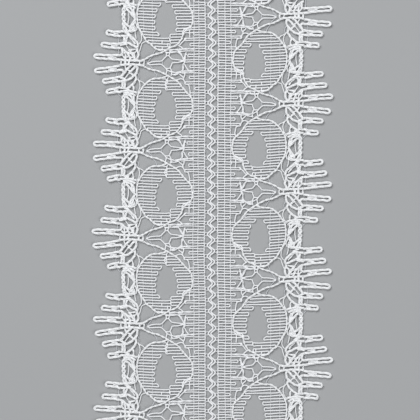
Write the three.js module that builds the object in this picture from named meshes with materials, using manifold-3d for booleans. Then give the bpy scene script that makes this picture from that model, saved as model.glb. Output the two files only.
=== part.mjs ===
// A cut length of white raschel lace trimming, lying flat and face up.
//
// Millimetres, +Z up. The origin is under the middle of the piece: +Y runs along the lace and +X across it.
// One half is charted. The other half is the same chart mirrored in the centre line, about half a repeat further on.

import * as THREE from "three";
import { mergeVertices } from "three/addons/utils/BufferGeometryUtils.js";
import Module from "manifold-3d";

// Driving dimensions.
const courseStep = 0.7; // one knitted course, along the lace
const coursesPerRepeat = 32; // courses from one fan to the next
const repeats = 5; // repeats in this length
const firstKnot = { left: 87.5, right: 104.25 }; // course of the topmost fan knot on each half, past the end
const sheetThick = 1.0; // the knitted ground
const edgeAcross = 23.3; // centre line to the outside of the edge braid
const endMargin = 0.45; // ground left whole at each cut end

const ovalAcross = 12.0; // middle of an oval, from the centre line
const ovalCourse = 15.7; // middle of an oval, in courses from its knot
const ovalHalfAcross = 6.8;
const ovalHalfAlong = 7.35;
const ovalSides = 22;
const eyeAcross = 11.6; // middle of the open eye in an oval, a little off the oval's own middle
const eyeHalfAcross = 2.7;
const eyeHalfAlong = 4.4;
const eyeSides = 18;

const cordWide = 0.6; // the cord round an oval and along the fan
const cordTop = 1.3; // top of that cord
const cordMeets = 11.0; // where the fan cord runs into the oval, from the centre line
const cordInset = 0.3; // how far inside the oval's rim it runs in
const braidWide = 0.7; // the edge braid
const braidTop = 1.2;
const headingAcross = 1.9; // middle of the chain beside the ladder
const headingChain = 0.35; // width of that chain
const knotAcross = 18.4;
const knotRadius = 0.85;
const knotTop = 1.5;
const knotSides = 8;
const picotWide = 1.45; // one picot across its two limbs
const picotTop = 0.85;
const picotRoot = 22.7; // where a picot leaves the braid, from the centre line
const picotTipSides = 4;

const rungCourses = 4; // one zig and one zag of the ladder
const rungHalf = 1.45; // half the ladder between its chains
const rungReach = 0.35; // how far a ladder gap runs past the centre line
const rungHalfAlong = 1.05; // half of a ladder gap, along the lace

const length = repeats * coursesPerRepeat * courseStep;

// Picots of one fan on each half: the course of the tip and of the root from the knot, and how far out the tip lies.
const picots = {
  left: [
    { tip: -10.9, root: -10.1, reach: 27.4 },
    { tip: -6.5, root: -5.85, reach: 28.5 },
    { tip: -2.35, root: -1.75, reach: 30.8 },
    { tip: 3.1, root: 1.5, reach: 30.2 },
    { tip: 6.9, root: 5.6, reach: 28.6 },
    { tip: 10.7, root: 9.5, reach: 27.1 },
  ],
  right: [
    { tip: -10.95, root: -10.1, reach: 28.5 },
    { tip: -6.95, root: -6.0, reach: 29.5 },
    { tip: -2.95, root: -1.8, reach: 30.8 },
    { tip: 2.65, root: 1.9, reach: 30.5 },
    { tip: 6.25, root: 5.9, reach: 28.7 },
    { tip: 10.5, root: 10.0, reach: 27.5 },
  ],
};

// Gaps of one repeat besides the eye. Each is a regular outline of some corners, drawn out to its half sizes.
// at: millimetres out from the centre line, and courses on from the knot. half: half size across and along.
// turn: first corner, 0 pointing out to the edge. lean: slide along the lace as it runs outward.
const gaps = [
  { name: "after the knot", at: [16.7, 4.5], half: [2.0, 1.8], corners: 5, turn: 180, lean: 0.1 },
  { name: "before the knot", at: [16.2, 27.5], half: [2.1, 2.1], corners: 5, turn: 180, lean: 0 },
  { name: "spider eye", at: [11.5, -0.5], half: [1.0, 1.45], corners: 6, turn: 90, lean: 0 },
  { name: "spider, ladder side", at: [9.1, -2.4], half: [1.1, 0.5], corners: 4, turn: 45, lean: 0 },
  { name: "spider, ladder side", at: [9.0, 1.7], half: [1.15, 0.85], corners: 4, turn: 45, lean: 0 },
  { name: "spider, knot side", at: [14.0, -2.0], half: [1.7, 0.6], corners: 5, turn: 0, lean: 0.3 },
  { name: "spider, knot side", at: [13.6, 1.9], half: [1.7, 0.6], corners: 5, turn: 0, lean: -0.35 },
  { name: "heading", at: [6.2, 1.5], half: [0.6, 0.65], corners: 5, turn: 90, lean: 0 },
  { name: "heading", at: [6.4, 5.8], half: [0.7, 0.6], corners: 5, turn: 0, lean: 0 },
  { name: "heading", at: [4.9, 8.8], half: [0.5, 0.5], corners: 4, turn: 45, lean: 0 },
  { name: "heading", at: [6.3, 22.4], half: [0.5, 0.6], corners: 4, turn: 45, lean: 0 },
  { name: "heading", at: [6.5, 25.7], half: [0.9, 0.75], corners: 5, turn: 0, lean: 0 },
  { name: "edge lens", at: [21.7, 15.2], half: [0.6, 1.65], corners: 6, turn: 90, lean: 0 },
  { name: "beside the oval", at: [19.1, 8.7], half: [0.5, 1.0], corners: 5, turn: 90, lean: 0 },
  { name: "beside the oval", at: [19.0, 22.0], half: [0.5, 1.05], corners: 5, turn: 90, lean: 0 },
  { name: "fan slot", at: [20.6, 7.2], half: [0.95, 0.45], corners: 4, turn: 45, lean: 0.95 },
  { name: "fan slot", at: [20.4, 24.5], half: [0.85, 0.5], corners: 4, turn: 45, lean: -1.2 },
];

const wasm = await Module();
wasm.setup();

// A closed surface as a solid that can be joined and cut.
function solidFrom(geometry) {
  geometry.deleteAttribute("normal");
  geometry.deleteAttribute("uv");
  const merged = mergeVertices(geometry, 1e-4);
  return new wasm.Manifold(new wasm.Mesh({
    numProp: 3,
    vertProperties: new Float32Array(merged.attributes.position.array),
    triVerts: new Uint32Array(merged.index.array),
  }));
}

// A flat outline raised from one height to another, with an optional outline left out of it.
function plate(points, low, high, inside) {
  const shape = new THREE.Shape(THREE.ShapeUtils.isClockWise(points) ? points.toReversed() : points);
  if (inside) shape.holes.push(new THREE.Path(inside));
  const geometry = new THREE.ExtrudeGeometry(shape, { depth: high - low, bevelEnabled: false });
  geometry.translate(0, 0, low);
  return solidFrom(geometry);
}

function join(solids) {
  return solids.reduce((whole, solid) => whole.add(solid));
}

// A chart point: millimetres out from the centre line and courses on from the knot.
function chart(cell, across, course) {
  const along = (cell.knot - course) * courseStep;
  return new THREE.Vector2(-cell.half * across, along);
}

// A regular outline stretched to its half sizes.
function outline(cell, row) {
  const turned = THREE.MathUtils.degToRad(row.turn);
  const unit = [];
  for (let i = 0; i < row.corners; i += 1) {
    const angle = turned + (2 * Math.PI * i) / row.corners;
    unit.push(new THREE.Vector2(Math.cos(angle), Math.sin(angle)));
  }
  const box = new THREE.Box2().setFromPoints(unit);
  const middle = box.getCenter(new THREE.Vector2());
  const size = box.getSize(new THREE.Vector2());
  return unit.map((point) => {
    const out = ((point.x - middle.x) / (size.x / 2)) * row.half[0];
    const on = ((point.y - middle.y) / (size.y / 2)) * row.half[1] + row.lean * out;
    return chart(cell, row.at[0] + out, row.at[1] + on / courseStep);
  });
}

function insideEnds(points) {
  return points.every((point) => Math.abs(point.y) < length / 2 - endMargin);
}

// A straight strip of one width between two chart points.
function strip(from, to, wide, low, high) {
  const along = to.clone().sub(from).normalize();
  const aside = new THREE.Vector2(-along.y, along.x).multiplyScalar(wide / 2);
  const points = [
    from.clone().add(aside),
    from.clone().sub(aside),
    to.clone().sub(aside),
    to.clone().add(aside),
  ];
  return plate(points, low, high);
}

// A straight band the whole length of the lace.
function band(middleX, wide, high) {
  const box = new THREE.BoxGeometry(wide, length, high);
  return solidFrom(box.translate(middleX, 0, high / 2));
}

// A picot: two straight sides and a round tip.
function picotOutline(root, tip) {
  const radius = picotWide / 2;
  const along = tip.clone().sub(root).normalize();
  const aside = new THREE.Vector2(-along.y, along.x).multiplyScalar(radius);
  const middle = tip.clone().sub(along.clone().multiplyScalar(radius));
  const points = [root.clone().add(aside), root.clone().sub(aside)];
  for (let i = 0; i <= picotTipSides; i += 1) {
    const angle = -Math.PI / 2 + (Math.PI * i) / picotTipSides;
    const reach = along.clone().multiplyScalar(radius * Math.cos(angle));
    points.push(middle.clone().add(reach).add(aside.clone().multiplyScalar(Math.sin(angle))));
  }
  return points;
}

// A round or oval outline about the middle of an oval.
function oval(cell, across, halfAcross, halfAlong, sides) {
  return outline(cell, {
    at: [across, ovalCourse],
    half: [halfAcross, halfAlong],
    corners: sides,
    turn: 0,
    lean: 0,
  });
}

// Every repeat of both halves, the left one first, with those just past each end.
const cells = [];
for (const [side, half] of [["left", 1], ["right", -1]]) {
  for (let i = 0; i <= repeats + 1; i += 1) {
    cells.push({ half, knot: firstKnot[side] - i * coursesPerRepeat, picots: picots[side] });
  }
}

const ground = band(0, 2 * edgeAcross, sheetThick);
const cuts = [];
const raised = [];

for (const cell of cells) {
  const eye = oval(cell, eyeAcross, eyeHalfAcross, eyeHalfAlong, eyeSides);
  for (const points of [eye, ...gaps.map((row) => outline(cell, row))]) {
    if (insideEnds(points)) cuts.push(plate(points, -1, sheetThick + 1));
  }

  const outer = oval(cell, ovalAcross, ovalHalfAcross, ovalHalfAlong, ovalSides);
  const inner = oval(cell, ovalAcross, ovalHalfAcross - cordWide, ovalHalfAlong - cordWide, ovalSides);
  raised.push(plate(outer, 0, cordTop, inner));

  const knot = chart(cell, knotAcross, 0);
  const cordCourses = (ovalHalfAlong - cordInset) / courseStep;
  const ovalTop = chart(cell, cordMeets, ovalCourse - cordCourses);
  const ovalFoot = chart(cell, cordMeets, ovalCourse + cordCourses - coursesPerRepeat);
  raised.push(strip(knot, ovalTop, cordWide, 0, cordTop));
  raised.push(strip(knot, ovalFoot, cordWide, 0, cordTop));
  const boss = outline(cell, {
    at: [knotAcross, 0],
    half: [knotRadius, knotRadius],
    corners: knotSides,
    turn: 180 / knotSides,
    lean: 0,
  });
  raised.push(plate(boss, 0, knotTop));

  for (const row of cell.picots) {
    const points = picotOutline(chart(cell, picotRoot, row.root), chart(cell, row.reach, row.tip));
    if (insideEnds(points)) raised.push(plate(points, 0, picotTop));
  }
}

// The ladder: a zigzag between the two chains, with a three-cornered gap on each side of it in turn.
const rungs = (repeats * coursesPerRepeat) / rungCourses;
for (const half of [1, -1]) {
  for (let i = 0; i < rungs; i += 1) {
    const course = (i - (rungs - 1) / 2) * rungCourses + half * (rungCourses / 4);
    const middle = course * courseStep;
    const points = [
      new THREE.Vector2(-half * rungHalf, middle - rungHalfAlong),
      new THREE.Vector2(half * rungReach, middle),
      new THREE.Vector2(-half * rungHalf, middle + rungHalfAlong),
    ];
    if (insideEnds(points)) cuts.push(plate(points, -1, sheetThick + 1));
  }
  raised.push(band(half * headingAcross, headingChain, braidTop));
  raised.push(band(half * (edgeAcross - braidWide / 2), braidWide, braidTop));
}

const pastEnds = solidFrom(new THREE.BoxGeometry(4 * edgeAcross, length, 4 * sheetThick));
const knitted = ground.subtract(join(cuts)).add(join(raised).intersect(pastEnds));
const surface = knitted.asOriginal().simplify(0.002).getMesh();

const laceGeometry = new THREE.BufferGeometry();
laceGeometry.setAttribute("position", new THREE.BufferAttribute(new Float32Array(surface.vertProperties), 3));
laceGeometry.setIndex(new THREE.BufferAttribute(new Uint32Array(surface.triVerts), 1));
laceGeometry.computeVertexNormals();

const whiteYarn = new THREE.MeshStandardMaterial({ color: 0xf3f4f7, roughness: 0.75, metalness: 0 });
const lace = new THREE.Mesh(laceGeometry, whiteYarn);
lace.name = "lace";

const group = new THREE.Group();
group.name = "raschel_lace";
group.add(lace);

export default group;
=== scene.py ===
import math
import bmesh
import bpy
import numpy as np
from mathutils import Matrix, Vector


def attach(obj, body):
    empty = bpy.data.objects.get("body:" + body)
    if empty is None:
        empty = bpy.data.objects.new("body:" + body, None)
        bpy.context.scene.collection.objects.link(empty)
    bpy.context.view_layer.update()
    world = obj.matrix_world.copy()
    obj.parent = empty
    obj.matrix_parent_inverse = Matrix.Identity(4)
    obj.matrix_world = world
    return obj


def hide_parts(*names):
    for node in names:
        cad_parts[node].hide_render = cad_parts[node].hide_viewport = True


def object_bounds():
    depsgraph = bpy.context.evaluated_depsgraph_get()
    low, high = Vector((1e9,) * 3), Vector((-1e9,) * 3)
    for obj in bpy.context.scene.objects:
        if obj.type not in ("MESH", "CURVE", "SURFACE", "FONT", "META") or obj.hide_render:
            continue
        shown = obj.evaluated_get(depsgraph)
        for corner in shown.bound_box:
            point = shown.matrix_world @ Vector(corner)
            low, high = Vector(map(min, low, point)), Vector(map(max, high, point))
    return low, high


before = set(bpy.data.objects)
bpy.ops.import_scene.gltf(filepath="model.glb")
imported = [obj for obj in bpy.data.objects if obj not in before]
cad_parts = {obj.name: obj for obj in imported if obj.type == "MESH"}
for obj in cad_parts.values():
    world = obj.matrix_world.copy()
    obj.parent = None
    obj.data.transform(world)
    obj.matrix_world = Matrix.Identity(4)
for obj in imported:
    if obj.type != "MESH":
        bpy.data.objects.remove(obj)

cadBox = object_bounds()
mm = 0.001
tiny = 1e-12        # mm, so that nothing is divided by nought

# The lace is charted for one half: millimetres out from the centre line, and courses on from a fan's knot.
# The other half is the same chart mirrored, and moved on by about half a repeat.
lace = {
    "course": 0.7,          # one knitted course along the lace, mm
    "repeatCourses": 32,
    "repeats": 5,
    "firstKnot": {1: 87.5, -1: 104.35},     # course of the topmost knot, left and right, past the end
    # how much wider the right half is: mm out on the chart, mm more
    "wider": ((3.0, 0.1), (5.0, 0.5), (7.2, 0.75), (10.5, 0.2), (14.0, 0.0), (18.0, 0.0), (21.0, 0.25)),
    "stray": 0.07,          # how far the yarns wander off the chart, mm
    # the uneven waves of that: mm across and along to a radian, where each starts, and its share
    "strayAcross": ((math.inf, 5.3, 0.4, 1.0), (2.9, 3.7, 1.9, 0.7)),
    "strayAlong": ((4.1, math.inf, 2.2, 1.0), (-5.7, 3.1, 0.8, 0.7)),
    "bow": (0.13, -0.2),    # the ends lie to one side and the middle to the other, mm
    "bowPlace": (2, 22),    # middle and reach of the bow along the lace, mm
    "drawn": (-0.13, -0.4),     # how far it lies down the photograph, and the more at its foot, mm
    "drawnPlace": (-33, 4),     # where the foot begins, and how gently, mm
    "lift": 0.03,           # how much higher or lower than its neighbours a yarn may lie, mm
    "seed": 11,
}
endY = float(cadBox[1][1]) / mm
dice = np.random.default_rng(lace["seed"])


def listCells():
    cells = []
    for half in (1, -1):
        for i in range(lace["repeats"] + 2):
            cells.append((half, lace["firstKnot"][half] - i * lace["repeatCourses"]))
    return cells


# A chart goes on the lace by its cell: which half it is on, and the course of its knot.
def place(cell, route, height):
    half, knot = cell
    points = np.array([(p[0], p[1], p[2] if len(p) > 2 else height) for p in route], float)
    x = -half * points[:, 0]
    y = (knot - points[:, 1]) * lace["course"]
    return np.column_stack([x, y, points[:, 2]])


# The right half was knitted a little wider than the chart, most of all beside its heading.
def widerOut(half, across):
    if half > 0:
        return across
    out, more = zip(*lace["wider"])
    return across + float(np.interp(across, out, more))


def widened(half, chart):
    return [(widerOut(half, point[0]), *point[1:]) for point in chart]


# A smooth curve through the charted points, which neither loops nor swings wide where they are uneven.
# Its points lie about a step apart, in millimetres.
def smoothRoute(points, step):
    points = np.asarray(points, float)
    spans = np.diff(points, axis=0)
    run = np.linalg.norm(spans, axis=1)[:, None]
    slope = spans / run
    inner = (slope[:-1] * run[1:] + slope[1:] * run[:-1]) / (run[1:] + run[:-1])
    slope = np.vstack([slope[:1], inner, slope[-1:]])
    pieces = []
    for i in range(len(spans)):
        count = math.ceil(run[i, 0] / step)
        t = np.linspace(0, 1, count, endpoint=False)[:, None]
        ease = t * t * (3 - 2 * t)
        start = t * (1 - t) ** 2 * run[i] * slope[i]
        end = t * t * (t - 1) * run[i] * slope[i + 1]
        pieces.append(points[i] + ease * spans[i] + start + end)
    return np.vstack(pieces + [points[-1:]])


def wander(waves, x, y):
    swings = [share * np.sin(x / across + y / along + start) for across, along, start, share in waves]
    return lace["stray"] * sum(swings)


# All yarns near one place wander together, so what meets on the chart still meets.
def stray(route):
    x = route[:, 0]
    y = route[:, 1]
    bowMiddle, bowReach = lace["bowPlace"]
    drawnFrom, drawnOver = lace["drawnPlace"]
    moved = route.copy()
    moved[:, 0] += wander(lace["strayAcross"], x, y)
    moved[:, 0] += lace["bow"][0] + lace["bow"][1] * np.exp(-((y - bowMiddle) / bowReach) ** 2)
    moved[:, 1] += wander(lace["strayAlong"], x, y)
    moved[:, 1] += lace["drawn"][0] + lace["drawn"][1] / (1 + np.exp((y - drawnFrom) / drawnOver))
    return moved


# Yarns end square at the cut ends of the piece.
def cutEnds(route):
    inside = np.abs(route[:, 1]) <= endY
    parts = []
    current = []
    for i, point in enumerate(route):
        if i and inside[i] != inside[i - 1]:
            before = route[i - 1]
            edge = math.copysign(endY, point[1] if inside[i - 1] else before[1])
            share = (edge - before[1]) / (point[1] - before[1])
            current.append(before + share * (point - before))
            if not inside[i]:
                parts.append(current)
                current = []
        if inside[i]:
            current.append(point)
    parts.append(current)
    return [np.array(p) for p in parts if len(p) > 2]


# The directions to the left of a route and up from it, at each of its points.
def sides(route):
    along = np.gradient(route, axis=0)
    along /= np.linalg.norm(along, axis=1)[:, None] + tiny
    left = np.column_stack([-along[:, 1], along[:, 0], np.zeros(len(route))])
    left /= np.linalg.norm(left, axis=1)[:, None] + tiny
    return left, np.cross(along, left)


def runLength(route):
    return np.concatenate([[0], np.cumsum(np.linalg.norm(np.diff(route, axis=0), axis=1))])


# Several yarns laid round one route with a slow twist.
def plies(route, count, offset, pitch):
    left, up = sides(route)
    angle = 2 * math.pi * runLength(route) / pitch + dice.uniform(0, 2 * math.pi)
    made = []
    for k in range(count):
        turned = (angle + 2 * math.pi * k / count)[:, None]
        made.append(route + offset * (np.cos(turned) * left + np.sin(turned) * up))
    return made


# Both ends of a yarn narrow, so that it closes in a rounded tip.
yarnEnd = {
    "length": 0.6,      # of the tip, in yarn radii
    "share": 0.3,       # of the last step that the tip may take up
    "tip": 0.55,        # radius at the very end, in yarn radii
}


def roundEnds(route, radius):
    first = route[1] - route[0]
    last = route[-2] - route[-1]
    firstStep = np.linalg.norm(first)
    lastStep = np.linalg.norm(last)
    length = min(yarnEnd["length"] * radius, yarnEnd["share"] * firstStep, yarnEnd["share"] * lastStep)
    start = route[0] + length * first / firstStep
    end = route[-1] + length * last / lastStep
    longer = np.vstack([route[:1], start, route[1:-1], end, route[-1:]])
    width = np.full(len(longer), radius)
    width[0] = width[-1] = yarnEnd["tip"] * radius
    return longer, width


# One joined mesh of closed tubes. Its UV map runs along each yarn in millimetres and once around it.
def yarnPiece(name, routes, material, corners=6):
    points = []
    faces = []
    uv = []
    start = 0
    angle = 2 * math.pi * (np.arange(corners) + 0.5) / corners
    cosine = np.cos(angle)[None, :, None]
    sine = np.sin(angle)[None, :, None]
    for route, radius in routes:
        route, width = roundEnds(route, radius)
        left, up = sides(route)
        ring = cosine * left[:, None] + sine * up[:, None]
        points.append((route[:, None, :] + width[:, None, None] * ring).reshape(-1, 3))
        run = runLength(route)
        count = len(route)
        rows = np.arange(count - 1)[:, None] * corners
        here = np.arange(corners)[None, :]
        after = (here + 1) % corners
        quads = np.stack([rows + here, rows + after, rows + corners + after, rows + corners + here], axis=2)
        faces += (quads.reshape(-1, 4) + start).tolist()
        low = np.broadcast_to(here / corners, (count - 1, corners))
        near = np.broadcast_to(run[:-1, None], low.shape)
        far = np.broadcast_to(run[1:, None], low.shape)
        high = low + 1 / corners
        uv.append(np.stack([near, low, near, high, far, high, far, low], axis=2).reshape(-1, 2))
        faces.append((start + np.arange(corners)[::-1]).tolist())
        faces.append((start + (count - 1) * corners + np.arange(corners)).tolist())
        uv.append(np.column_stack([np.full(corners, run[0]), np.arange(corners)[::-1] / corners]))
        uv.append(np.column_stack([np.full(corners, run[-1]), np.arange(corners) / corners]))
        start += count * corners
    mesh = bpy.data.meshes.new(name)
    mesh.from_pydata((np.vstack(points) * mm).tolist(), [], faces)
    layer = mesh.uv_layers.new(name="yarn")
    layer.data.foreach_set("uv", np.vstack(uv).astype(np.float32).ravel())
    mesh.polygons.foreach_set("use_smooth", np.ones(len(mesh.polygons), bool))
    mesh.update()
    mesh.materials.append(material)
    piece = bpy.data.objects.new(name, mesh)
    bpy.context.collection.objects.link(piece)
    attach(piece, "root")
    print(name, len(routes), "yarns", sum(len(f) - 2 for f in faces), "triangles")
    return piece


# Twist of a spun yarn: a slanting wave round it and fine fibres along it. Its height makes the bump, and
# its Shade output is a painted shade that darkens the yarn's colour where the twist lies low.
twistLook = {
    "waveShare": 0.65,          # of the height, and the rest is fibres
    "fibreRun": 1.5,            # steps of the fibre pattern to each mm along the yarn
    "fibreDetail": 2.0,
    "shadeFrom": (0.1, 0.8),    # heights that take the darkest painted shade and the palest tone
}


def makeYarnTwist():
    group = bpy.data.node_groups.new("yarnTwist", "ShaderNodeTree")
    for label, value in (("Strands", 3.0), ("Turns", 1.2), ("Fibres", 9.0)):
        socket = group.interface.new_socket(label, in_out="INPUT", socket_type="NodeSocketFloat")
        socket.default_value = value
    for label in ("Height", "Shade"):
        group.interface.new_socket(label, in_out="OUTPUT", socket_type="NodeSocketFloat")
    nodes = group.nodes
    links = group.links
    given = nodes.new("NodeGroupInput")
    result = nodes.new("NodeGroupOutput")
    uvMap = nodes.new("ShaderNodeUVMap")
    uvMap.uv_map = "yarn"
    split = nodes.new("ShaderNodeSeparateXYZ")
    links.new(uvMap.outputs["UV"], split.inputs[0])

    def mathNode(operation, *values):
        node = nodes.new("ShaderNodeMath")
        node.operation = operation
        for socket, value in zip(node.inputs, values):
            if isinstance(value, (int, float)):
                socket.default_value = value
            else:
                links.new(value, socket)
        return node.outputs[0]

    around = mathNode("MULTIPLY", split.outputs["Y"], given.outputs["Strands"])
    along = mathNode("MULTIPLY", split.outputs["X"], given.outputs["Turns"])
    slant = mathNode("ADD", around, along)
    wave = mathNode("SINE", mathNode("MULTIPLY", slant, 2 * math.pi))
    wave = mathNode("MULTIPLY_ADD", wave, 0.5, 0.5)     # from 0 to 1
    join = nodes.new("ShaderNodeCombineXYZ")
    links.new(mathNode("MULTIPLY", split.outputs["X"], twistLook["fibreRun"]), join.inputs[0])
    links.new(mathNode("MULTIPLY", slant, given.outputs["Fibres"]), join.inputs[1])
    fibres = nodes.new("ShaderNodeTexNoise")
    fibres.inputs["Scale"].default_value = 1.0
    fibres.inputs["Detail"].default_value = twistLook["fibreDetail"]
    links.new(join.outputs[0], fibres.inputs["Vector"])
    waveHeight = mathNode("MULTIPLY", wave, twistLook["waveShare"])
    fibreHeight = mathNode("MULTIPLY", fibres.outputs["Fac"], 1 - twistLook["waveShare"])
    height = mathNode("ADD", waveHeight, fibreHeight)
    links.new(height, result.inputs["Height"])
    shade = nodes.new("ShaderNodeMapRange")
    shade.inputs["From Min"].default_value = twistLook["shadeFrom"][0]
    shade.inputs["From Max"].default_value = twistLook["shadeFrom"][1]
    links.new(height, shade.inputs["Value"])
    links.new(shade.outputs["Result"], result.inputs["Shade"])
    return group


yarnTwist = makeYarnTwist()
yarnFinish = {"bump": 0.6, "specular": 0.35}    # for every yarn


def makeYarn(name, settings):
    material = bpy.data.materials.new(name)
    material.use_nodes = True
    nodes = material.node_tree.nodes
    links = material.node_tree.links
    shader = nodes["Principled BSDF"]
    twist = nodes.new("ShaderNodeGroup")
    twist.node_tree = yarnTwist
    twist.inputs["Strands"].default_value = settings["strands"]
    twist.inputs["Turns"].default_value = settings["turns"]
    twist.inputs["Fibres"].default_value = settings["fibres"]
    # The base colour runs from a painted shade in the twist's hollows to the yarn's own tone on its crests.
    tone = nodes.new("ShaderNodeMix")
    tone.data_type = "RGBA"
    tone.inputs["A"].default_value = (*settings["hollowShade"], 1)
    tone.inputs["B"].default_value = (*settings["crest"], 1)
    links.new(twist.outputs["Shade"], tone.inputs["Factor"])
    links.new(tone.outputs["Result"], shader.inputs["Base Color"])
    rough = nodes.new("ShaderNodeMapRange")
    rough.inputs["To Min"].default_value = settings["rough"][0]
    rough.inputs["To Max"].default_value = settings["rough"][1]
    links.new(twist.outputs["Shade"], rough.inputs["Value"])
    links.new(rough.outputs["Result"], shader.inputs["Roughness"])
    bump = nodes.new("ShaderNodeBump")
    bump.inputs["Strength"].default_value = yarnFinish["bump"]
    bump.inputs["Distance"].default_value = settings["relief"] * mm
    links.new(twist.outputs["Height"], bump.inputs["Height"])
    links.new(bump.outputs["Normal"], shader.inputs["Normal"])
    shader.inputs["Sheen Weight"].default_value = settings["sheen"]
    shader.inputs["Specular IOR Level"].default_value = yarnFinish["specular"]
    return material


# In each yarn the hollow tone is a painted shade for the grooves of the twist, and the crest tone is the
# yarn's own colour.
groundYarn = makeYarn("groundYarn", {
    "crest": (0.89, 0.90, 0.92), "hollowShade": (0.78, 0.80, 0.83), "rough": (0.7, 0.5),
    "strands": 3, "turns": 1.4, "fibres": 8, "relief": 0.03, "sheen": 0.2,
})
cordYarn = makeYarn("cordYarn", {
    "crest": (0.91, 0.92, 0.93), "hollowShade": (0.80, 0.82, 0.85), "rough": (0.65, 0.45),
    "strands": 4, "turns": 0.5, "fibres": 10, "relief": 0.035, "sheen": 0.25,
})
fineThread = makeYarn("fineThread", {
    "crest": (0.72, 0.74, 0.77), "hollowShade": (0.62, 0.64, 0.68), "rough": (0.5, 0.35),
    "strands": 2, "turns": 2.0, "fibres": 4, "relief": 0.015, "sheen": 0.0,
})
print("materials ready")


# Each yarn lies a hair higher or lower than its neighbours.
def laid(routes, radius):
    made = []
    for route in routes:
        lift = np.array([0, 0, dice.uniform(-lace["lift"], lace["lift"])])
        for part in cutEnds(stray(route)):
            made.append((part + lift, radius))
    return made


def oneYarn(cell, chart, radius, height, step):
    return laid([smoothRoute(place(cell, widened(cell[0], chart), height), step)], radius)


# A strand of several yarns, as its make says.
def strand(cell, chart, make, height, step):
    smooth = smoothRoute(place(cell, widened(cell[0], chart), height), step)
    return laid(plies(smooth, make["plies"], make["offset"], make["pitch"]), make["radius"])


# Heading bands: an inlaid yarn runs to and fro across each band, one bar to a course.
heading = {
    "radius": 0.172,
    "height": 0.30,
    "ladderSide": 1.88,     # where the bars turn beside the ladder
    # how far out each pair of bars turns, from the first pair after the knot
    "reach": (5.4, 7.5, 5.4, 6.7, 4.15, 5.4, 4.9, 4.75, 4.85, 5.6, 4.4, 6.6, 5.25, 8.3, 5.9, 6.9),
    "uneven": 0.12,         # how much that may differ, mm
    "drawnIn": 0.08,        # how far the two ends at a turn are drawn together, courses
    "sagAt": 1.5,           # where a bar sags, mm from the ladder side
    "sag": 0.08,            # by how much at most, courses
    "chains": (1.68, 3.3, 4.55),    # where the chains run, the first beside the ladder
    "firstChain": (0.12, 0.07),     # half the width of its stitch and the radius of its yarn, mm
    "otherChains": (0.085, 0.058),
    "chainHeights": (0.14, 0.50),   # of the foot of a stitch and of its loop
    "chainStray": 0.04,
}

# The rounded end where a yarn turns back, from one bar's end to the next bar's.
barTurn = {
    "bulge": 0.29,      # how far it stands out past the bars, mm
    "wide": 1.12,       # its width as a share of the distance between the bars
    "degrees": (-90, -54, -18, 18, 54, 90),
}


def turn(first, second, out):
    bulge = barTurn["bulge"] if out else -barTurn["bulge"]
    middle = (0.5 * (first[0] + second[0]), 0.5 * (first[1] + second[1]))
    half = (0.5 * (second[0] - first[0]), 0.5 * (second[1] - first[1]))
    made = [(first[0] - bulge, first[1])]
    for degrees in barTurn["degrees"]:
        swing = barTurn["wide"] * math.sin(math.radians(degrees))
        stand = bulge * math.cos(math.radians(degrees))
        made.append((middle[0] + swing * half[0] + stand, middle[1] + swing * half[1]))
    return made + [(second[0] - bulge, second[1])]


def headingBars():
    routes = []
    near = heading["ladderSide"]
    middle = near + heading["sagAt"]
    sag = heading["sag"]
    drawnIn = heading["drawnIn"]
    for half in (1, -1):
        chart = []
        for i in range(lace["repeats"] + 2):
            for k, reach in enumerate(heading["reach"]):
                course = i * lace["repeatCourses"] + 1 + 2 * k
                far = widerOut(half, reach) + dice.uniform(-heading["uneven"], heading["uneven"])
                chart += turn((near, course - 1 + drawnIn), (near, course - drawnIn), False)
                chart.append((middle, course + dice.uniform(-sag, sag)))
                chart += turn((far, course + drawnIn), (far, course + 1 - drawnIn), True)
                chart.append((middle, course + 1 + dice.uniform(-sag, sag)))
        route = place((half, lace["firstKnot"][half]), chart, heading["height"])
        routes.append(smoothRoute(route, step=0.55))
    return laid(routes, heading["radius"])


# Chain stitch up one wale: each loop goes up, round through the next and back to its own foot.
def chainRoute(footX, footY, wide):
    low, high = heading["chainHeights"]
    middle = 0.5 * (low + high)
    stitch = (
        (0.0, 0.0, low), (-0.9, 0.35, middle), (-1.0, 0.8, high), (-0.45, 1.15, high), (0.45, 1.15, high),
        (1.0, 0.8, high), (0.9, 0.35, middle), (0.15, 0.05, low), (0.0, 0.5, low),
    )
    points = []
    for i in range(len(footY) - 1):
        step = footY[i + 1] - footY[i]
        for across, along, z in stitch:
            points.append((footX[i] + across * wide, footY[i] + along * step, z))
    return np.array(points)


def chains():
    made = []
    last = endY / lace["course"]
    footY = np.arange(-last, last + 0.5) * lace["course"]
    for half in (1, -1):
        for k, across in enumerate(heading["chains"]):
            if k > 0:
                across = widerOut(half, across)
            footStray = dice.uniform(-heading["chainStray"], heading["chainStray"], len(footY))
            footX = np.full(len(footY), -half * across) + footStray
            wide, radius = heading["firstChain"] if k == 0 else heading["otherChains"]
            made += laid([chainRoute(footX, footY, wide)], radius)
    return made


# Ladder: two yarns zigzag side by side between the headings, tied to the chain at each turn.
ladder = {
    "radius": 0.225,
    "height": 0.36,
    "firstTurn": -87,       # course of the lowest turn, which is on the left
    "courses": 4,           # from one turn to the next on the same side
    # where each yarn turns back on the left and on the right, and its shift along, mm
    "yarns": ((-0.92, 0.29, -0.17), (-0.27, 1.0, -0.24)),
    "bend": (0.12, 0.22),       # how far across and along the bend of a turn begins, mm
    "tieReach": 1.62,
    "tieApart": 0.36,
    "tieRadius": 0.1,
}


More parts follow.
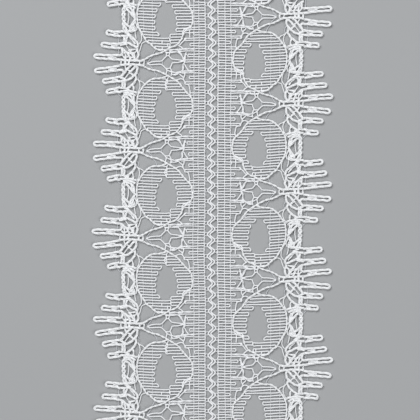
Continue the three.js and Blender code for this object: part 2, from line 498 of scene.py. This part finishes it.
def ladderYarns():
    last = endY / lace["course"] + 5    # past the cut end
    courses = np.arange(ladder["firstTurn"], last, ladder["courses"] / 2)
    turns = [(i % 2 == 0, course * lace["course"]) for i, course in enumerate(courses)]
    across, along = ladder["bend"]
    zigzags = []
    for leftTurn, rightTurn, shift in ladder["yarns"]:
        points = []
        for isLeft, y in turns:
            at = leftTurn if isLeft else rightTurn
            inner = at + across if isLeft else at - across
            middle = y + shift
            points += [(inner, middle - along), (at, middle), (inner, middle + along)]
        zigzags.append(smoothRoute([(*p, ladder["height"]) for p in points], step=0.35))
    ties = []
    for isLeft, y in turns:
        at = ladder["yarns"][0][0] if isLeft else ladder["yarns"][1][1]
        reach = -ladder["tieReach"] if isLeft else ladder["tieReach"]
        middle = y + ladder["yarns"][0][2]
        # round the turn and the chain beside it
        loop = ((0.8 * at, -1), (0.9 * reach, -1), (1.03 * reach, -0.5),
                (1.03 * reach, 0.5), (0.9 * reach, 1), (0.8 * at, 1))
        points = [(x, middle + share * ladder["tieApart"], ladder["height"]) for x, share in loop]
        ties.append(smoothRoute(points, step=0.3))
    return laid(zigzags, ladder["radius"]) + laid(ties, ladder["tieRadius"])


# Ovals: bars to and fro on each side of the open eye, held by chains and rimmed by two cords.
oval = {
    "radius": 0.178,
    "height": 0.30,
    "edgeBars": 5.85,       # course of the first bar on the edge side
    "headingBars": {1: 6.7, -1: 9.88},      # and on the heading side of each half
    "lastBar": 27.4,
    "pitch": 1.06,          # courses from bar to bar
    "slant": 0.12,          # courses that a bar drops on its way in from the edge
    "sag": 0.05,            # courses that the middle of a bar may lie off it
    "shortOfCord": 0.25,    # from the end of a bar to the middle of the cord, mm
    "shortest": 0.5,        # shorter bars are left out, mm
    # an eye's middle across and along, then half its width in mm and half its length in courses
    "eye": (11.6, 15.95, 2.8, 6.1),
    # how far the eyes of each half sway in and out along the lace, mm, and a row that lies furthest out
    "eyeSway": {1: (0.2, 0.5), -1: (0.7, 3.0)},
    "swayRows": 4,              # rows from one furthest out to the next
    "eyeLow": 2.0,              # courses that the widest part of an eye lies below its middle
    "eyeCorners": (2.0, 2.5),   # how square an eye is above and below that, 2 being an ellipse
    "eyeFollow": 0.4,           # how far the two bars of a pair differ as the eye's edge does, as a share
    "setBack": 0.3,             # how far from the eye a bar begins its turn, mm
    "uneven": 0.06,             # how much that may differ, mm
    "meetBelow": 1.1,           # where the bars below an eye meet, mm from its middle to the heading
    "meetAbove": 0.1,           # how far past its middle those above it reach, mm
    "meetCord": 0.35,           # or how far from the cord they turn, mm
    # the cord round the edge side, and the one from a knot round the heading side to the next knot
    "rim": [(11.3, 4.8), (12.4, 5.4), (13.6, 5.75), (14.6, 5.75), (15.6, 6.2), (16.35, 7.1),
            (17.1, 8.0), (17.7, 9.1), (18.25, 10.3), (18.7, 11.5), (18.95, 13.0), (19.05, 15.2),
            (19.0, 17.0), (18.7, 19.0), (18.15, 20.6), (17.6, 22.0), (17.1, 23.1), (16.8, 24.0),
            (16.3, 24.5), (15.7, 25.0), (15.3, 25.7), (14.8, 26.3), (14.3, 26.8), (13.8, 27.2),
            (13.1, 27.25), (12.4, 27.3)],
    "cord": [(17.9, 0.9), (16.0, 2.2), (15.0, 2.65), (14.2, 2.8), (13.0, 3.5), (12.1, 4.15),
             (11.2, 4.9), (10.3, 5.6), (9.4, 6.4), (8.6, 7.2), (8.0, 8.2), (7.2, 9.6), (6.5, 10.8),
             (5.75, 11.9), (5.15, 13.0), (4.95, 14.6), (4.9, 17.2), (5.4, 18.9), (6.4, 19.9),
             (7.05, 20.8), (7.35, 21.9), (7.6, 23.1), (8.2, 24.3), (8.8, 25.3), (9.7, 26.0),
             (10.7, 26.4), (11.6, 27.2), (12.4, 27.85), (14.0, 28.6), (15.0, 29.0), (16.5, 30.0),
             (17.3, 30.75), (17.9, 31.1)],
    "cordSpan": (4.6, 27.2),    # courses along which that cord bounds the bars
    # short yarns that hold the bars above and below the eye, the first on the left half alone
    "leftLink": [(11.1, 5.0), (11.4, 6.2), (11.3, 7.2), (11.9, 7.6), (11.9, 8.4), (11.5, 9.0),
                 (11.4, 9.6)],
    "links": [
        [(12.7, 23.75), (12.75, 24.85)],
        [(11.3, 24.75), (11.25, 25.9)],
        [(12.75, 25.85), (12.7, 26.95)],
    ],
    "pillars": (17.4, 15.1),    # fine yarns that hold the bars together, mm from the centre line
    "pillarRadius": 0.06,
    "pillarHeight": (0.34, 0.16),       # its middle, and how far it goes over and under the bars
    "pillarPast": (0.2, 0.3),           # courses that it runs on before and after the bars
    "pillarStep": 0.5,                  # courses from over a bar to between it and the next
    "pillarStray": 0.05,
    "cordMake": {"plies": 2, "radius": 0.155, "offset": 0.12, "pitch": 2.6},
    "cordHeight": 0.50,
}


def eyeEdge(eye, course, side):
    middle, centre, halfWidth, halfLength = eye
    widest = centre + oval["eyeLow"]
    if course < widest:
        off = (widest - course) / (halfLength + oval["eyeLow"])
        square = oval["eyeCorners"][0]
    else:
        off = (course - widest) / (halfLength - oval["eyeLow"])
        square = oval["eyeCorners"][1]
    if off >= 1:
        return None
    return middle + side * halfWidth * (1 - off ** square) ** (1 / square)


# Above and below the eye the bars of both sides meet, or those above it run on to the cord that is given.
def meeting(eye, course, side, over):
    if course > eye[1]:
        return eye[0] - oval["meetBelow"]
    if over is None:
        return eye[0] - oval["meetAbove"] * side
    return np.interp(course, over[:, 1], over[:, 0]) + oval["meetCord"]


# Where the two bars of a pair turn back: both beside the eye, or both clear of it.
def barEnds(eye, pair, side, over):
    middle = eyeEdge(eye, 0.5 * (pair[0] + pair[1]), side)
    if middle is None:
        ends = [meeting(eye, course, side, over) for course in pair]
    else:
        edges = [eyeEdge(eye, course, side) or middle for course in pair]
        ends = [middle + oval["eyeFollow"] * (edge - middle) for edge in edges]
    return [end + oval["setBack"] * side + dice.uniform(-oval["uneven"], oval["uneven"]) for end in ends]


def bandBars(eye, rim, side, first, slant, over=None):
    chart = []
    last = None
    pitch = oval["pitch"]
    for course in np.arange(first, oval["lastBar"], 2 * pitch):
        pair = (course, course + pitch)
        ends = barEnds(eye, (course + slant, course + pitch + slant), side, over)
        outer = [np.interp(c - slant, rim[:, 1], rim[:, 0]) - oval["shortOfCord"] * side for c in pair]
        if min(side * (o - e) for o, e in zip(outer, ends)) < oval["shortest"]:
            continue
        sag = dice.uniform(-oval["sag"], oval["sag"], 2)
        if last:
            edge = 0.5 * (last[0] + outer[0])
            chart += turn((edge, last[1]), (edge, course - slant), side > 0)
        else:
            chart.append((outer[0], course - slant))
        chart.append((0.5 * (outer[0] + ends[0]), course + sag[0]))
        chart += turn((ends[0], pair[0] + slant), (ends[1], pair[1] + slant), side < 0)
        chart.append((0.5 * (outer[1] + ends[1]), pair[1] + sag[1]))
        last = (outer[1], pair[1] - slant)
    return chart + [last]


def ovalBars():
    routes = []
    first, last = oval["cordSpan"]
    for half, knot in listCells():
        outerRim = smoothRoute(widened(half, oval["rim"]), step=0.2)
        innerRim = smoothRoute(widened(half, oval["cord"]), step=0.2)
        innerRim = innerRim[(innerRim[:, 1] > first) & (innerRim[:, 1] < last)]
        row = (lace["firstKnot"][half] - knot) / lace["repeatCourses"]
        sway, furthest = oval["eyeSway"][half]
        out = sway * math.cos(2 * math.pi * (row - furthest) / oval["swayRows"])
        eye = (oval["eye"][0] + out, *oval["eye"][1:])
        over = innerRim if half < 0 else None
        outerBars = bandBars(eye, outerRim, 1, oval["edgeBars"], oval["slant"], over)
        innerBars = bandBars(eye, innerRim, -1, oval["headingBars"][half], 0.0)
        links = oval["links"] if half < 0 else [oval["leftLink"], *oval["links"]]
        for chart in (outerBars, innerBars, *links):
            routes.append(smoothRoute(place((half, knot), chart, oval["height"]), step=0.6))
    return laid(routes, oval["radius"])


# A fine yarn goes over one bar and under the next.
def ovalPillars():
    made = []
    outerRim = smoothRoute(oval["rim"], step=0.2)
    middle, rise = oval["pillarHeight"]
    before, after = oval["pillarPast"]
    for cell in listCells():
        for across in oval["pillars"]:
            crossed = outerRim[outerRim[:, 0] > across, 1]
            chart = []
            for course in np.arange(crossed.min() - before, crossed.max() + after, oval["pillarStep"]):
                aside = dice.uniform(-oval["pillarStray"], oval["pillarStray"])
                chart.append((across + aside, course, middle + rise * math.cos(math.pi * course)))
            made += laid([smoothRoute(place(cell, chart, oval["height"]), step=0.4)], oval["pillarRadius"])
    return made


def ovalCords():
    made = []
    for cell in listCells():
        for chart in (oval["rim"], oval["cord"]):
            made += strand(cell, chart, oval["cordMake"], oval["cordHeight"], step=0.35)
    return made


# Spider between two ovals, and the loose net beside the heading.
spider = {
    "radius": 0.18,
    "height": 0.33,
    "yarns": [
        [(16.6, 0.2), (15.5, -0.4), (14.2, -0.62), (12.85, -0.8), (12.3, -1.6), (11.7, -2.5),
         (11.65, -3.4), (11.9, -4.25)],
        [(16.6, 0.3), (15.6, 0.6), (14.2, 0.55), (12.9, 0.65), (12.4, 1.25), (11.9, 2.0),
         (11.55, 2.7), (11.65, 3.6), (11.8, 4.3)],
        [(7.1, -0.7), (8.0, -0.85), (8.7, -1.0), (9.6, -1.17), (10.25, -1.35), (10.65, -1.9),
         (11.0, -2.55), (10.85, -3.4), (10.75, -4.6), (11.0, -5.5)],
        [(7.1, -0.45), (8.0, -0.25), (8.8, 0.0), (9.7, 0.02), (10.2, 0.15), (10.35, 0.8), (10.7, 1.9),
         (10.4, 2.8), (10.3, 3.7), (10.5, 4.9)],
        [(11.8, -2.55), (11.3, -2.6), (10.8, -2.55)],
        [(12.0, 2.02), (11.3, 2.1), (10.6, 1.98)],
        [(11.6, 2.6), (10.9, 3.1), (10.3, 3.5)],
        [(11.7, -3.6), (11.2, -3.7), (10.8, -3.7)],
        [(9.4, 6.6), (8.9, 6.35), (8.2, 6.0), (7.5, 6.1), (7.05, 6.7), (6.9, 7.3), (6.6, 7.6)],
        [(7.2, 0.2), (6.85, 1.0), (6.5, 1.9), (6.1, 2.7), (5.9, 3.1)],
        [(6.6, 7.9), (6.0, 8.1), (5.75, 8.8), (5.65, 9.6), (5.55, 10.3), (5.6, 11.5)],
        [(5.5, 19.4), (5.65, 20.3), (5.65, 21.5), (5.6, 22.9)],
        [(6.4, 23.1), (7.0, 23.8), (7.6, 24.6), (8.1, 25.4), (8.6, 25.8)],
        [(8.8, 25.5), (8.2, 25.95), (7.7, 26.4), (7.3, 27.1)],
        [(6.3, 28.9), (6.7, 29.3), (7.0, 30.1), (7.1, 30.9)],
        [(4.4, 21.0), (5.6, 21.1), (7.0, 21.0)],
        [(5.1, 18.6), (5.6, 18.85), (6.4, 19.35), (7.1, 19.9), (7.4, 20.7), (7.4, 21.6)],
        [(5.2, 19.3), (5.7, 19.9), (6.4, 20.3), (6.9, 20.6)],
        [(8.3, 4.2), (7.9, 4.8), (7.4, 5.3), (7.2, 6.2)],
        [(7.85, -1.0), (7.85, 0.0)],
        [(6.5, -3.7), (6.8, -3.0), (6.75, -2.2), (6.9, -1.0)],
        [(6.95, 3.9), (6.95, 4.7), (7.2, 5.6)],
    ],
    # yarns of two plies that frame the net
    "frameMake": {"plies": 2, "radius": 0.15, "offset": 0.13, "pitch": 4.0},
    "frameHeight": 0.39,
    "frames": [
        [(4.4, -4.9), (6.0, -4.95), (7.4, -4.9), (8.2, -4.6), (8.9, -4.75), (9.8, -4.8), (10.8, -4.6)],
        [(10.8, -3.8), (9.6, -3.9), (8.6, -3.85), (8.1, -3.4), (7.7, -2.5), (7.25, -1.4),
         (6.95, -0.6), (7.0, 0.1), (7.3, 0.7), (7.4, 1.7), (7.4, 2.6), (7.8, 3.3), (8.7, 3.65),
         (9.5, 3.7), (10.3, 3.4)],
        [(10.4, 4.3), (9.6, 4.45), (8.8, 4.1), (8.0, 3.6), (7.2, 3.35), (6.0, 3.2), (4.4, 3.15)],
    ],
    # fine threads across the open gaps
    "threads": [
        [(16.6, 0.1), (16.1, -1.0), (15.7, -1.8), (15.3, -2.8), (14.9, -4.0), (14.5, -5.0)],
        [(16.3, 0.6), (15.6, 1.4), (15.2, 2.2), (14.7, 3.4), (14.2, 4.3), (13.9, 5.6)],
        [(12.75, -1.0), (12.65, 0.0), (12.8, 0.8)],
    ],
}


def spiderYarns():
    made = []
    for cell in listCells():
        for chart in spider["yarns"]:
            made += oneYarn(cell, chart, spider["radius"], spider["height"], step=0.35)
        for chart in spider["frames"]:
            made += strand(cell, chart, spider["frameMake"], spider["frameHeight"], step=0.35)
    return made


# Fan: thick yarns gather from the picots to the knot, and a braided edge joins them.
fan = {
    "thick": {"plies": 3, "radius": 0.175, "offset": 0.165, "pitch": 4.2, "height": 0.46},
    "slim": {"plies": 2, "radius": 0.155, "offset": 0.12, "pitch": 3.0, "height": 0.36},
    "fine": {"plies": 1, "radius": 0.15, "offset": 0.0, "pitch": 3.0, "height": 0.30},
    "lifts": (0.0, 0.12, 0.06),     # how much higher each strand lies than the chart's height, in turn
    "strands": {
        "thick": [
            # along the knot, from the two middle picots
            [(23.4, -1.15), (22.4, -1.0), (21.2, -0.9), (20.2, -0.88), (19.3, -0.88), (18.5, -0.75),
             (17.9, -0.9), (17.3, -1.25)],
            [(23.4, 0.95), (22.6, 0.75), (21.5, 0.62), (20.4, 0.52), (19.4, 0.7), (18.6, 0.75),
             (17.9, 0.85), (17.3, 1.15)],
            # before the knot, from the first two picots
            [(23.4, -11.3), (22.4, -11.35), (21.4, -11.4), (20.6, -11.65), (20.0, -12.1),
             (19.6, -12.5)],
            [(22.3, -11.0), (21.6, -10.7), (21.1, -10.3), (20.7, -9.8)],
            [(23.4, -9.7), (22.4, -9.65), (21.5, -9.95), (20.8, -9.65), (20.2, -9.0), (19.6, -8.25),
             (19.15, -7.4), (18.9, -6.6), (18.85, -6.0)],
            [(22.45, -9.6), (22.4, -8.6), (22.35, -7.5)],
            [(21.5, -9.7), (21.75, -9.0), (21.95, -8.2), (21.95, -7.5)],
            [(23.5, -6.4), (22.8, -6.6), (22.2, -6.75), (21.6, -6.95)],
            [(23.4, -6.9), (22.6, -7.25), (21.8, -7.35), (21.2, -7.1), (20.6, -6.65), (20.0, -6.2),
             (19.5, -5.9), (19.1, -5.5)],
            [(23.4, -5.35), (22.95, -5.15), (22.5, -4.65), (21.95, -4.0), (21.45, -3.35),
             (21.15, -2.6), (20.95, -1.9), (20.8, -1.1)],
            [(22.95, -5.1), (22.85, -4.4), (22.8, -3.6), (22.95, -3.0), (23.4, -2.75)],
            [(21.2, -4.95), (20.95, -4.4), (20.65, -3.7), (20.3, -3.0), (20.0, -2.3), (19.75, -1.6),
             (19.6, -1.0)],
            [(18.9, -6.3), (19.15, -5.5), (19.1, -4.6), (18.9, -3.8), (18.8, -3.0), (18.95, -2.2),
             (19.2, -1.5), (19.4, -0.9)],
            # after the knot, to the last two picots
            [(23.4, 2.65), (22.9, 2.75), (22.55, 3.3), (22.65, 4.0), (22.95, 4.7), (23.4, 5.2)],
            [(20.4, 0.65), (20.95, 1.3), (21.5, 2.1), (21.95, 2.95), (22.45, 3.9), (22.9, 4.75),
             (23.4, 5.3)],
            [(19.5, 1.2), (19.95, 1.9), (20.4, 2.7), (20.85, 3.4), (21.2, 3.95)],
            [(19.4, 3.9), (19.75, 4.5), (20.1, 5.05), (20.7, 5.75), (21.3, 6.2), (22.1, 6.5),
             (23.4, 6.75)],
            [(23.5, 5.3), (22.9, 5.6), (22.4, 6.0), (21.9, 6.4)],
            [(19.3, 0.9), (19.05, 1.7), (19.05, 2.6), (19.2, 3.4), (19.45, 4.1), (19.5, 4.7),
             (19.3, 5.4), (19.35, 6.1), (19.65, 6.9), (20.05, 7.7), (20.6, 8.4), (21.2, 9.1),
             (21.8, 9.6)],
            [(22.85, 6.8), (22.8, 7.8), (22.8, 9.2)],
            [(22.25, 6.7), (22.2, 7.8), (22.2, 9.3)],
            [(23.4, 9.35), (22.5, 9.3), (21.7, 9.6), (21.0, 10.0)],
            [(23.4, 10.6), (22.4, 10.45), (21.3, 10.4), (20.3, 10.6), (19.6, 10.8), (19.1, 11.1)],
            [(22.6, 11.25), (21.6, 11.15), (20.6, 11.35), (19.9, 11.7), (19.4, 12.2)],
            # round the lens-shaped gap beside the braid
            [(22.5, 11.9), (21.5, 11.85), (20.7, 12.1), (20.3, 12.9), (20.25, 13.8), (19.95, 14.6),
             (19.6, 15.4)],
            [(21.9, 12.5), (21.3, 13.0), (20.85, 13.7), (20.5, 14.4), (20.1, 15.0), (19.75, 15.6),
             (19.5, 16.1)],
            [(19.5, 15.9), (19.8, 16.7), (20.2, 17.5), (20.5, 18.3), (20.8, 19.1), (21.0, 19.9)],
            [(19.6, 16.6), (19.95, 17.6), (20.1, 18.6), (20.2, 19.6), (20.4, 20.4)],
            [(22.4, 17.4), (21.9, 18.1), (21.4, 18.6), (20.8, 19.1), (20.2, 19.6)],
            [(22.3, 18.6), (22.05, 19.3), (21.85, 20.0), (21.4, 20.5)],
            [(22.1, 20.3), (21.2, 20.6), (20.5, 20.6), (19.9, 20.3), (19.5, 20.5)],
        ],
        "slim": [
            [(23.25, -1.1), (23.2, 0.0), (23.3, 1.0)],
            [(22.15, -1.0), (22.15, 0.6)],
            [(22.0, -1.0), (21.95, 0.6)],
            [(21.25, -1.0), (21.25, 0.5)],
            [(21.05, -1.0), (21.1, 0.5)],
            [(18.5, -0.8), (18.45, 0.7)],
            [(17.5, -1.0), (17.35, -0.2), (17.45, 0.9)],
            [(21.1, -4.75), (20.6, -4.75), (20.1, -4.85), (19.5, -5.1)],
            [(21.5, -3.85), (21.1, -3.5), (20.65, -3.25)],
            [(21.3, -9.7), (20.85, -9.1), (20.4, -8.4), (19.95, -7.6), (19.6, -6.8)],
            [(21.0, -2.1), (20.6, -1.95), (20.1, -1.95)],
            [(22.1, -2.0), (21.7, -2.1), (21.3, -2.3)],
            [(21.6, 2.35), (21.2, 2.75), (20.75, 3.1)],
            [(20.4, -3.7), (19.8, -3.7), (19.4, -4.2), (19.2, -4.8)],
            [(19.85, -3.6), (19.85, -2.8), (19.75, -2.0), (19.6, -1.3)],
            [(22.5, -4.0), (22.1, -3.1), (22.05, -2.2), (22.1, -1.2)],
            [(22.9, -2.8), (22.6, -2.3), (22.3, -1.9), (21.9, -1.2)],
            [(22.3, 0.9), (22.05, 1.7), (21.8, 2.6)],
            [(20.9, 3.7), (20.45, 4.1), (20.15, 4.6), (20.1, 5.0)],
            [(20.25, 8.1), (19.95, 9.0), (19.9, 9.9), (20.0, 10.6)],
            [(22.2, 10.4), (22.1, 11.6)],
            [(21.2, 9.9), (21.2, 12.0)],
            [(20.0, 12.2), (19.85, 13.2), (19.7, 14.2), (19.5, 15.2)],
            [(21.1, 19.0), (21.0, 19.7), (21.1, 20.4)],
        ],
        "fine": [
            [(22.0, -6.6), (21.7, -5.9), (21.35, -5.2), (21.1, -4.7)],
            [(21.2, 3.95), (21.5, 4.4), (21.85, 5.1), (22.2, 5.7)],
            [(21.7, 12.3), (21.3, 13.4), (21.2, 14.6), (21.2, 15.8), (21.35, 17.0), (21.5, 18.2)],
            [(19.15, 5.6), (18.8, 6.3), (18.45, 7.0), (18.3, 7.9), (18.3, 8.9), (18.5, 9.9),
             (18.9, 10.9), (19.2, 11.8)],
            [(19.6, 16.6), (19.3, 18.2), (18.7, 19.6), (18.2, 21.0), (18.0, 22.4), (18.0, 23.6),
             (18.35, 24.5), (18.7, 25.2)],
            [(19.8, 18.4), (19.55, 19.8), (19.65, 21.0), (19.5, 22.4), (19.35, 23.2)],
            [(16.8, 24.1), (17.4, 24.35), (17.9, 24.75), (18.15, 25.8), (18.45, 27.2), (18.7, 28.2)],
            [(19.2, 18.0), (19.15, 19.2), (19.3, 20.3)],
            [(18.9, 6.1), (18.3, 6.7), (17.6, 7.1), (17.1, 7.9)],
        ],
    },
    # fine threads beside the fan and under the roots of the picots
    "threads": [
        [(19.1, 3.4), (18.6, 4.5), (18.6, 5.6), (18.85, 6.3)],
        [(23.8, -11.0), (23.75, -8.5), (23.85, -4.5), (23.8, -2.5)],
        [(24.2, 2.5), (24.3, 4.0), (24.3, 8.0), (24.2, 10.0), (23.9, 11.5), (23.2, 12.6)],
    ],
}


def fanStrands(kind):
    made = []
    make = fan[kind]
    for cell in listCells():
        for k, chart in enumerate(fan["strands"][kind]):
            lift = fan["lifts"][k % len(fan["lifts"])]
            made += strand(cell, chart, make, make["height"] + lift, step=0.42)
    return made


thread = {"radius": 0.09, "height": 0.2}


def fineThreads():
    made = []
    for cell in listCells():
        for chart in spider["threads"] + fan["threads"]:
            made += oneYarn(cell, chart, thread["radius"], thread["height"], step=0.4)
    return made


# Edge braid: two strands that cross and cross again between the fans.
braid = {
    "plies": 3,
    "radius": 0.165,
    "offset": 0.13,
    "pitch": 3.0,
    "height": 0.42,
    "rise": 0.12,       # how far one strand goes over or under the other, mm
    "swing": 0.33,      # how far each goes to the side, mm
    "courses": 1.7,     # from one crossing to the next
    "widest": 12.8,     # a course where the strands are furthest apart
    "line": [(22.1, 11.5), (22.4, 12.1), (22.52, 13.0), (22.52, 14.6), (22.5, 16.2), (22.45, 17.8),
             (22.4, 19.0), (22.15, 20.2)],
}


def edgeBraid():
    made = []
    line = smoothRoute(braid["line"], step=0.25)
    for cell in listCells():
        for k in (0, 1):
            wave = math.pi * ((line[:, 1] - braid["widest"]) / braid["courses"] + 0.5 + k)
            chart = np.column_stack([
                line[:, 0] + braid["swing"] * np.sin(wave),
                line[:, 1],
                braid["height"] + braid["rise"] * np.cos(wave) * (1 - 2 * k),
            ])
            route = place(cell, widened(cell[0], chart.tolist()), braid["height"])
            made += laid(plies(route, braid["plies"], braid["offset"], braid["pitch"]), braid["radius"])
    return made


# Picots: long loops of thick yarn run out past the edge.
picot = {
    "plies": 3,
    "radius": 0.195,
    "offset": 0.17,
    "pitch": 5.5,
    "height": 0.46,
    "root": 23.3,           # where the loops begin, mm out
    "uneven": 0.25,         # how much the reach of a tip may differ, mm
    "bow": 0.15,            # how far aside the middle of a loop may lie, mm
    "limb": (0, 0.16, 0.34, 0.56, 0.76, 0.88),      # points of a limb, as shares of the length
    "apartAt": (0, 0.45, 0.88),     # root, middle and near the tip, as shares of the length
    "apart": (0.60, 0.45, 0.47),    # half the distance between the limbs there, mm
    "apartUneven": 0.02,
    "tipBend": (0.62, 0.8),     # where the tip bends round, as shares of the length and width left
    "core": (0.15, 0.5),        # share of the length along which the limbs close on a yarn between them
    "corePoints": 5,
    "coreRadius": 0.16,
    "clearOfEnd": 1.1,          # a loop nearer to a cut end is left out, mm
    # for each half, the course of the root and of the tip from the knot, and how far out the tip lies
    "loops": {
        1: [(-10.4, -11.0, 27.2), (-6.1, -6.55, 28.4), (-1.95, -2.3, 30.5), (1.8, 3.0, 30.2),
            (5.95, 6.9, 28.5), (9.95, 10.8, 27.0)],
        -1: [(-10.15, -10.95, 28.6), (-6.1, -6.95, 29.6), (-1.9, -2.95, 31.1), (1.95, 2.65, 30.7),
             (5.95, 6.25, 28.9), (10.1, 10.5, 27.7)],
    },
}


# A point of a loop's middle line, at a share of its length.
def picotMiddle(root, along, aside, bow, share):
    return root + along * share + aside * bow * math.sin(math.pi * share)


def picotLoops():
    made = []
    for cell in listCells():
        for rootCourse, tipCourse, reach in picot["loops"][cell[0]]:
            reach += dice.uniform(-picot["uneven"], picot["uneven"]) - picot["radius"] - picot["offset"]
            chart = [(widerOut(cell[0], picot["root"]), rootCourse), (reach, tipCourse)]
            root, tip = place(cell, chart, picot["height"])
            if max(abs(root[1]), abs(tip[1])) > endY - picot["clearOfEnd"]:
                continue
            along = tip - root
            aside = np.array([-along[1], along[0], 0]) / np.linalg.norm(along)
            bow = dice.uniform(-picot["bow"], picot["bow"])
            limb = []
            for share in picot["limb"]:
                half = np.interp(share, picot["apartAt"], picot["apart"])
                half += dice.uniform(-picot["apartUneven"], picot["apartUneven"])
                limb.append((picotMiddle(root, along, aside, bow, share), half))
            middle, half = limb[-1]
            left = along * (1 - picot["limb"][-1])
            bendAlong = picot["tipBend"][0] * left
            bendAside = picot["tipBend"][1] * half * aside
            bend = [middle + bendAlong + bendAside, middle + left, middle + bendAlong - bendAside]
            route = [m + aside * h for m, h in limb] + bend + [m - aside * h for m, h in reversed(limb)]
            smooth = smoothRoute(route, step=0.45)
            made += laid(plies(smooth, picot["plies"], picot["offset"], picot["pitch"]), picot["radius"])
            shares = np.linspace(*picot["core"], picot["corePoints"])
            core = [picotMiddle(root, along, aside, bow, share) for share in shares]
            made += laid([smoothRoute(core, step=0.5)], picot["coreRadius"])
    return made


ground = yarnPiece("laceGround", headingBars() + ovalBars() + spiderYarns(), groundYarn)
pieces = [
    yarnPiece("headingChains", chains() + ovalPillars(), groundYarn, corners=5),
    yarnPiece("ladder", ladderYarns(), groundYarn),
    yarnPiece("ovalCords", ovalCords(), cordYarn),
    yarnPiece("fanStrands", fanStrands("thick"), cordYarn),
    yarnPiece("fanTies", fanStrands("slim") + fanStrands("fine"), cordYarn),
    yarnPiece("edgeBraid", edgeBraid(), cordYarn),
    yarnPiece("picotLoops", picotLoops(), cordYarn),
    yarnPiece("fineThreads", fineThreads(), fineThread, corners=5),
]
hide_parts("lace")

# Floor, light and camera.
floor = {"size": 1.2, "tone": (0.37, 0.38, 0.39), "rough": 0.85}


def makeFloor():
    mesh = bpy.data.meshes.new("floor")
    plane = bmesh.new()
    bmesh.ops.create_grid(plane, x_segments=1, y_segments=1, size=floor["size"] / 2)
    plane.to_mesh(mesh)
    plane.free()
    piece = bpy.data.objects.new("floor", mesh)
    bpy.context.collection.objects.link(piece)
    material = bpy.data.materials.new("paleFloor")
    material.use_nodes = True
    shader = material.node_tree.nodes["Principled BSDF"]
    shader.inputs["Base Color"].default_value = (*floor["tone"], 1)
    shader.inputs["Roughness"].default_value = floor["rough"]
    mesh.materials.append(material)


lights = {
    "key": {"at": (-0.35, 0.45, 0.7), "size": 0.5, "power": 6.6},
    "fill": {"at": (0.5, -0.3, 0.6), "size": 0.6, "power": 2.8},
}


# A square lamp that faces the middle of the lace.
def makeLight(name, settings):
    data = bpy.data.lights.new(name, "AREA")
    data.size = settings["size"]
    data.energy = settings["power"]
    light = bpy.data.objects.new(name, data)
    light.location = settings["at"]
    x, y, z = settings["at"]
    tilt = math.acos(z / math.hypot(x, y, z))
    turned = math.atan2(-y, -x) - math.pi / 2
    light.rotation_euler = (tilt, 0, turned)
    bpy.context.collection.objects.link(light)


studio = {"tone": (1, 1, 1), "strength": 0.2}


def makeWorld():
    world = bpy.data.worlds.new("studio")
    bpy.context.scene.world = world
    world.use_nodes = True
    background = world.node_tree.nodes["Background"]
    background.inputs["Color"].default_value = (*studio["tone"], 1)
    background.inputs["Strength"].default_value = studio["strength"]


# The photograph is 420 pixels wide, a pixel is 0.256 mm, and its middle lies a little off the lace's.
photo = {"pixels": 420, "pixel": 0.256, "middle": (-0.31, 1.05), "lens": 135.0, "sensor": 36.0}


def makeCamera():
    data = bpy.data.cameras.new("camera")
    data.lens = photo["lens"]
    data.sensor_width = photo["sensor"]
    data.sensor_fit = "HORIZONTAL"
    data.clip_start = 0.01
    frameWidth = photo["pixels"] * photo["pixel"] * mm
    camera = bpy.data.objects.new("camera", data)
    away = frameWidth * photo["lens"] / data.sensor_width
    camera.location = (photo["middle"][0] * mm, photo["middle"][1] * mm, away)
    bpy.context.collection.objects.link(camera)
    bpy.context.scene.camera = camera


makeFloor()
for name, settings in lights.items():
    makeLight(name, settings)
makeWorld()
bpy.context.scene.view_settings.view_transform = "Standard"
makeCamera()
print("stage ready")
